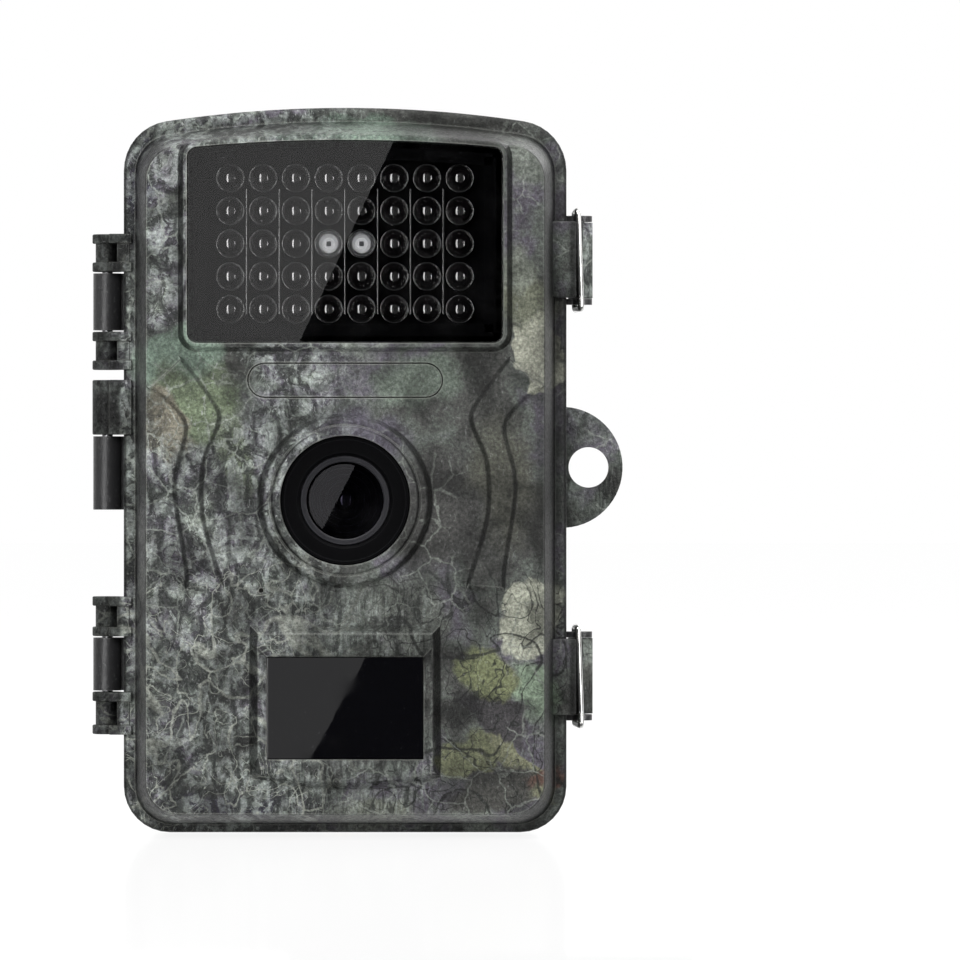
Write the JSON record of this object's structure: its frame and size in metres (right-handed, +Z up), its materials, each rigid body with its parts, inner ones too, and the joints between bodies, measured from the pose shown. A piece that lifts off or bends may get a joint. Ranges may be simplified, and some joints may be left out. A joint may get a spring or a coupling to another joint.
{
  "type": "trail camera",
  "caption": "Hinged outdoor field camera with an infrared flash window, a wide lens, a motion sensor window, draw latches, a padlock ear and a rear tree bracket",
  "frame": {"origin": "the mouth of the tripod thread, in the base of the rear half", "axes": "+Z up the case, -Y out of the lens, +X to the latch side seen from the front"},
  "size_m": [0.0992, 0.0594, 0.135],
  "materials": {
    "camo_front": "satin moulded plastic with a dipped bark and leaf pattern",
    "camo_rear": "satin moulded plastic with the same pattern",
    "dark_window": "polished, infrared-passing black acrylic",
    "ir_resin": "smoked epoxy",
    "clear_resin": "water-clear epoxy",
    "gloss_black": "polished",
    "dark_metal": "black anodised",
    "lens_glass": "coated glass",
    "filter_glass": "coated glass",
    "black_plastic": "fine satin moulding",
    "card_plastic": "fine matte",
    "board": "solder-masked glass epoxy",
    "screen": "unlit liquid crystal display",
    "button_rubber": "matte",
    "switch_plastic": "matte",
    "seal_rubber": "soft matte silicone",
    "nickel": "nickel plated",
    "gold": "gold plated",
    "brass_insert": "machined",
    "battery_jacket": "shrink-wrapped cell, plain",
    "screw_steel": "zinc plated",
    "chrome_wire": "bright spring wire"
  },
  "bodies": {
    "rear_half": {"mid_frame": "black_plastic", "rear_shell": "camo_rear", "case_seal": "seal_rubber", "hinge_pins": "screw_steel", "batteries": "battery_jacket", "battery_springs": "nickel", "contact_plates": "nickel", "power_pads": "gold", "tripod_insert": "brass_insert", "dc_jack": "black_plastic", "tree_bracket": "black_plastic", "bracket_screws": "screw_steel", "frame_screws": "screw_steel", "latch_pins": "screw_steel"},
    "front_half": {"front_shell": "camo_front", "led_window": "dark_window", "ir_leds": "ir_resin", "clear_leds": "clear_resin", "led_holder": "black_plastic", "led_board": "board", "nameplate": "camo_front", "lens_ring": "gloss_black", "lens_barrel": "dark_metal", "lens_front_element": "lens_glass", "lens_rear_element": "lens_glass", "lens_holder": "black_plastic", "image_sensor": "gloss_black", "pir_window": "dark_window", "pir_sensor": "nickel", "microphone": "nickel", "main_board": "board", "inner_panel": "black_plastic", "lcd_screen": "screen", "sd_slot": "nickel", "usb_port": "nickel", "speaker": "black_plastic", "panel_screws": "screw_steel", "power_pins": "gold"},
    "key_up": {"button_up": "button_rubber"},
    "key_down": {"button_down": "button_rubber"},
    "key_left": {"button_left": "button_rubber"},
    "key_right": {"button_right": "button_rubber"},
    "key_ok": {"button_ok": "button_rubber"},
    "key_menu": {"button_menu": "button_rubber"},
    "switch": {"mode_switch": "switch_plastic"},
    "card": {"sd_card": "card_plastic"},
    "filter": {"ir_cut_filter": "filter_glass"},
    "bung": {"dc_plug": "seal_rubber"},
    "lever_upper": {"latch_lever_upper": "camo_rear"},
    "lever_lower": {"latch_lever_lower": "camo_rear"},
    "bail_upper": {"latch_bail_upper": "chrome_wire"},
    "bail_lower": {"latch_bail_lower": "chrome_wire"}
  },
  "joints": [
    {"name": "case_hinge", "type": "hinge", "parent": "rear_half", "child": "front_half", "pos_m": [-0.0444, -0.012, 0.065], "axis": [0, 0, -1], "range_deg": [0, 150]},
    {"name": "latch_upper", "type": "hinge", "parent": "rear_half", "child": "lever_upper", "pos_m": [0.044, -0.01, 0.1067], "axis": [0, 0, -1], "range_deg": [0, 100]},
    {"name": "latch_lower", "type": "hinge", "parent": "rear_half", "child": "lever_lower", "pos_m": [0.044, -0.01, 0.029], "axis": [0, 0, -1], "range_deg": [0, 100]},
    {"name": "bail_upper_pivot", "type": "hinge", "parent": "lever_upper", "child": "bail_upper", "pos_m": [0.0431, -0.0045, 0.1067], "axis": [0, 0, -1], "range_deg": [-100, 0]},
    {"name": "bail_lower_pivot", "type": "hinge", "parent": "lever_lower", "child": "bail_lower", "pos_m": [0.0431, -0.0045, 0.029], "axis": [0, 0, -1], "range_deg": [-100, 0]},
    {"name": "press_up", "type": "slide", "parent": "front_half", "child": "key_up", "axis": [0, -1, 0], "range_m": [0, 0.0006], "stiffness_N_per_m": 600},
    {"name": "press_down", "type": "slide", "parent": "front_half", "child": "key_down", "axis": [0, -1, 0], "range_m": [0, 0.0006], "stiffness_N_per_m": 600},
    {"name": "press_left", "type": "slide", "parent": "front_half", "child": "key_left", "axis": [0, -1, 0], "range_m": [0, 0.0006], "stiffness_N_per_m": 600},
    {"name": "press_right", "type": "slide", "parent": "front_half", "child": "key_right", "axis": [0, -1, 0], "range_m": [0, 0.0006], "stiffness_N_per_m": 600},
    {"name": "press_ok", "type": "slide", "parent": "front_half", "child": "key_ok", "axis": [0, -1, 0], "range_m": [0, 0.0006], "stiffness_N_per_m": 600},
    {"name": "press_menu", "type": "slide", "parent": "front_half", "child": "key_menu", "axis": [0, -1, 0], "range_m": [0, 0.0006], "stiffness_N_per_m": 600},
    {"name": "mode_slide", "type": "slide", "parent": "front_half", "child": "switch", "axis": [1, 0, 0], "range_m": [0, 0.006]},
    {"name": "card_eject", "type": "slide", "parent": "front_half", "child": "card", "axis": [0, 0, -1], "range_m": [0, 0.004]},
    {"name": "filter_slide", "type": "slide", "parent": "front_half", "child": "filter", "axis": [1, 0, 0], "range_m": [0, 0.006]},
    {"name": "bung_pull", "type": "slide", "parent": "rear_half", "child": "bung", "axis": [0, 0, -1], "range_m": [0, 0.004]}
  ],
  "couplings": [
    {"joint": "bail_upper_pivot", "follows": "latch_upper", "ratio": -1},
    {"joint": "bail_lower_pivot", "follows": "latch_lower", "ratio": -1}
  ]
}
